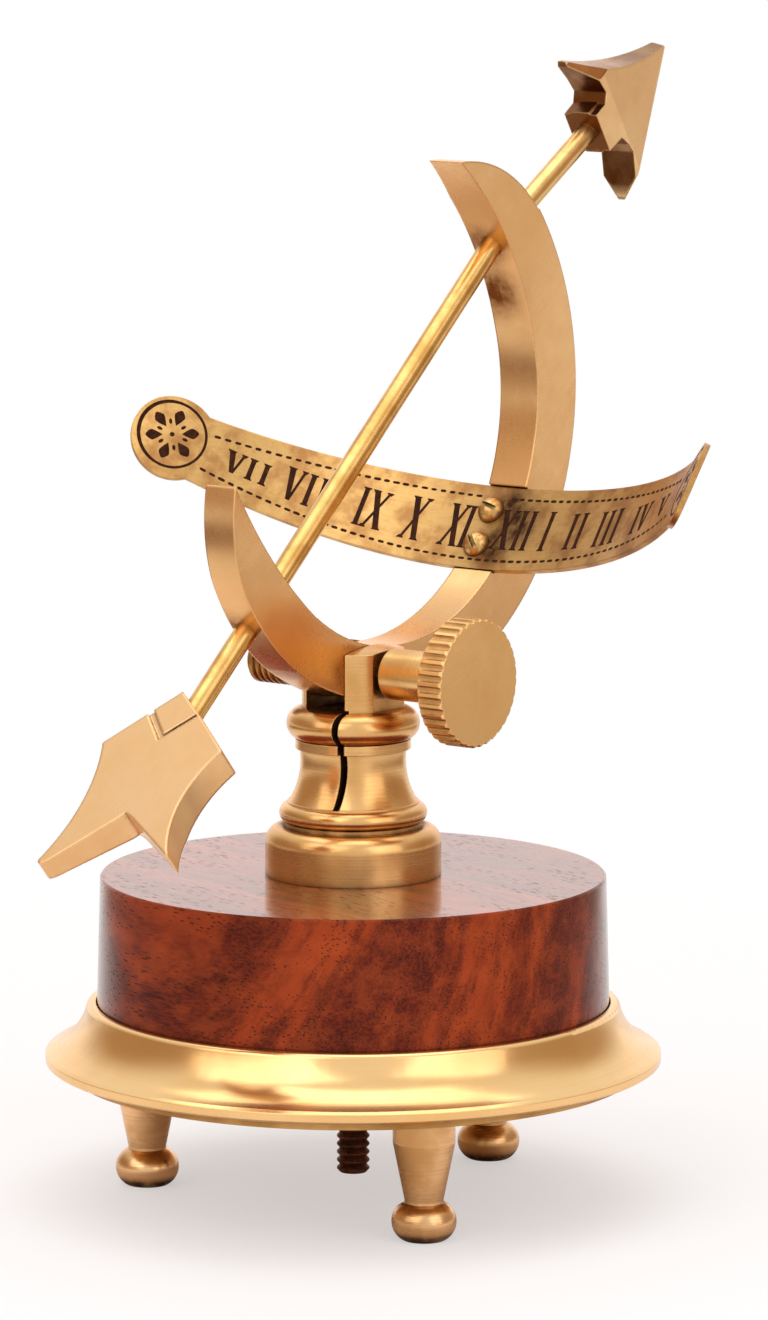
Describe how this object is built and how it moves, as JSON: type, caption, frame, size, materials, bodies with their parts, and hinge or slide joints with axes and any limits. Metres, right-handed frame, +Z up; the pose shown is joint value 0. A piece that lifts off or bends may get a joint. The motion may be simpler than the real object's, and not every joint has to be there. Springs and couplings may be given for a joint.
{
  "type": "table sundial",
  "caption": "Table sundial: crescent ring with arrow gnomon and curved hour band, tilting in a clamp on a round base of wood and brass with small feet.",
  "frame": {"origin": "on the floor under the feet, on the axis of the round base and pedestal", "axes": "+Z up along the pedestal axis, +X in the plane of the ring towards the side where the arrow head is, -Y towards the side with the clamp knob"},
  "size_m": [0.228, 0.1734, 0.275],
  "materials": {
    "cast_brass": "satin",
    "turned_brass": "polished",
    "aged_brass": "antiqued",
    "plinth_wood": "semi gloss",
    "dark_steel": "rusty"
  },
  "bodies": {
    "base": {"foot_left": "aged_brass", "foot_front": "aged_brass", "foot_right": "aged_brass", "foot_studs": "dark_steel", "bottom_plate": "aged_brass", "base_dish": "turned_brass", "wood_plinth": "plinth_wood", "centre_stud": "dark_steel", "stud_washer": "dark_steel", "stud_nut": "dark_steel", "pedestal": "turned_brass", "barrel_nut": "aged_brass"},
    "dial": {"meridian_ring": "cast_brass", "gnomon_rod": "turned_brass", "head_stem": "turned_brass", "arrow_head": "cast_brass", "arrow_tail": "cast_brass", "hour_band": "aged_brass", "band_screws": "aged_brass"},
    "screw": {"clamp_screw": "turned_brass"},
    "knob": {"clamp_knob": "cast_brass"}
  },
  "joints": [
    {"name": "latitude_tilt", "type": "hinge", "parent": "base", "child": "dial", "pos_m": [0, 0, 0.1295], "axis": [0, -1, 0], "range_deg": [-1, 14]},
    {"name": "screw_travel", "type": "slide", "parent": "base", "child": "screw", "axis": [0, -1, 0], "range_m": [-0.00139, 0.00236]},
    {"name": "knob_turn", "type": "hinge", "parent": "screw", "child": "knob", "pos_m": [0, -0.031, 0.1295], "axis": [0, -1, 0], "range_deg": [-400, 680]}
  ],
  "couplings": [
    {"joint": "knob_turn", "follows": "screw_travel", "rad_per_m": 5026.5}
  ]
}
